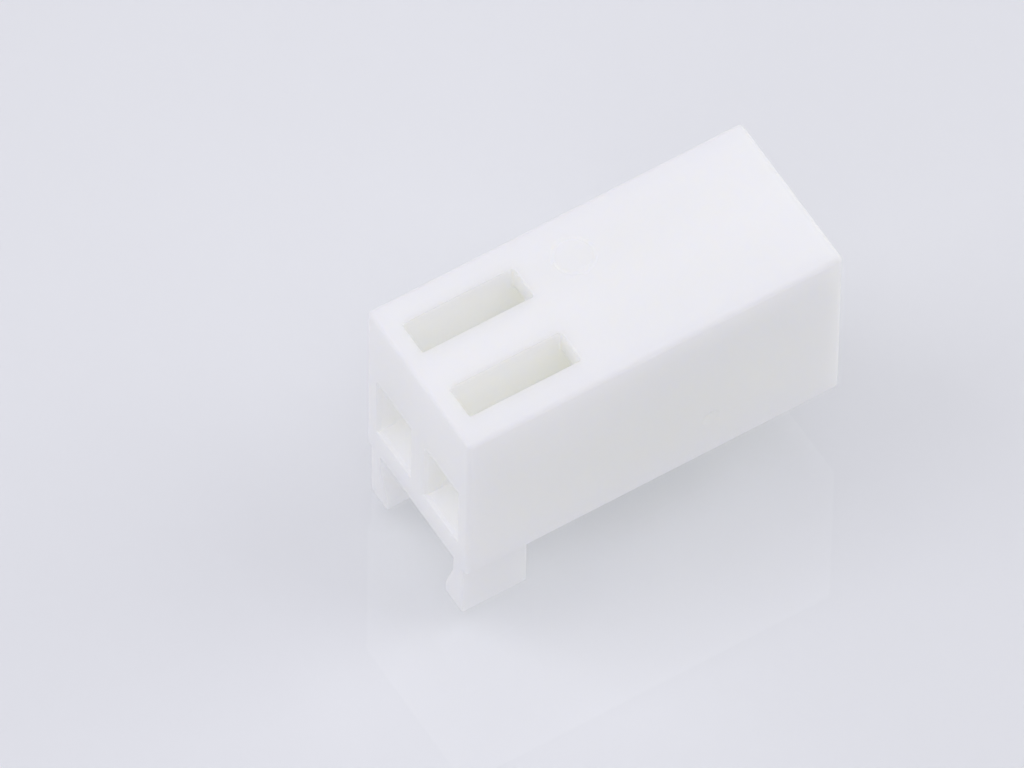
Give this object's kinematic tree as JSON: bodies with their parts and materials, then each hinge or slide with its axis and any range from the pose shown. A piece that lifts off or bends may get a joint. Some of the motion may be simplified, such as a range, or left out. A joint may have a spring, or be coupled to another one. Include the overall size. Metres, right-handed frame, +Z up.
{
  "type": "wire-to-board connector housing",
  "caption": "Moulded white crimp-terminal housing for a wire-to-board connector, with lance windows on top, pin openings in front and toed legs below.",
  "frame": {"origin": "under the middle of the housing, on the surface that its legs and ramp stand on", "axes": "+Y runs from the mating face to the wire end, +X across the circuits, +Z up through the lance windows"},
  "size_m": [0.0054, 0.0122, 0.0087],
  "materials": {
    "nylon": "natural white nylon, satin, slightly translucent"
  },
  "bodies": {
    "root": {"housing": "nylon"}
  },
  "joints": []
}
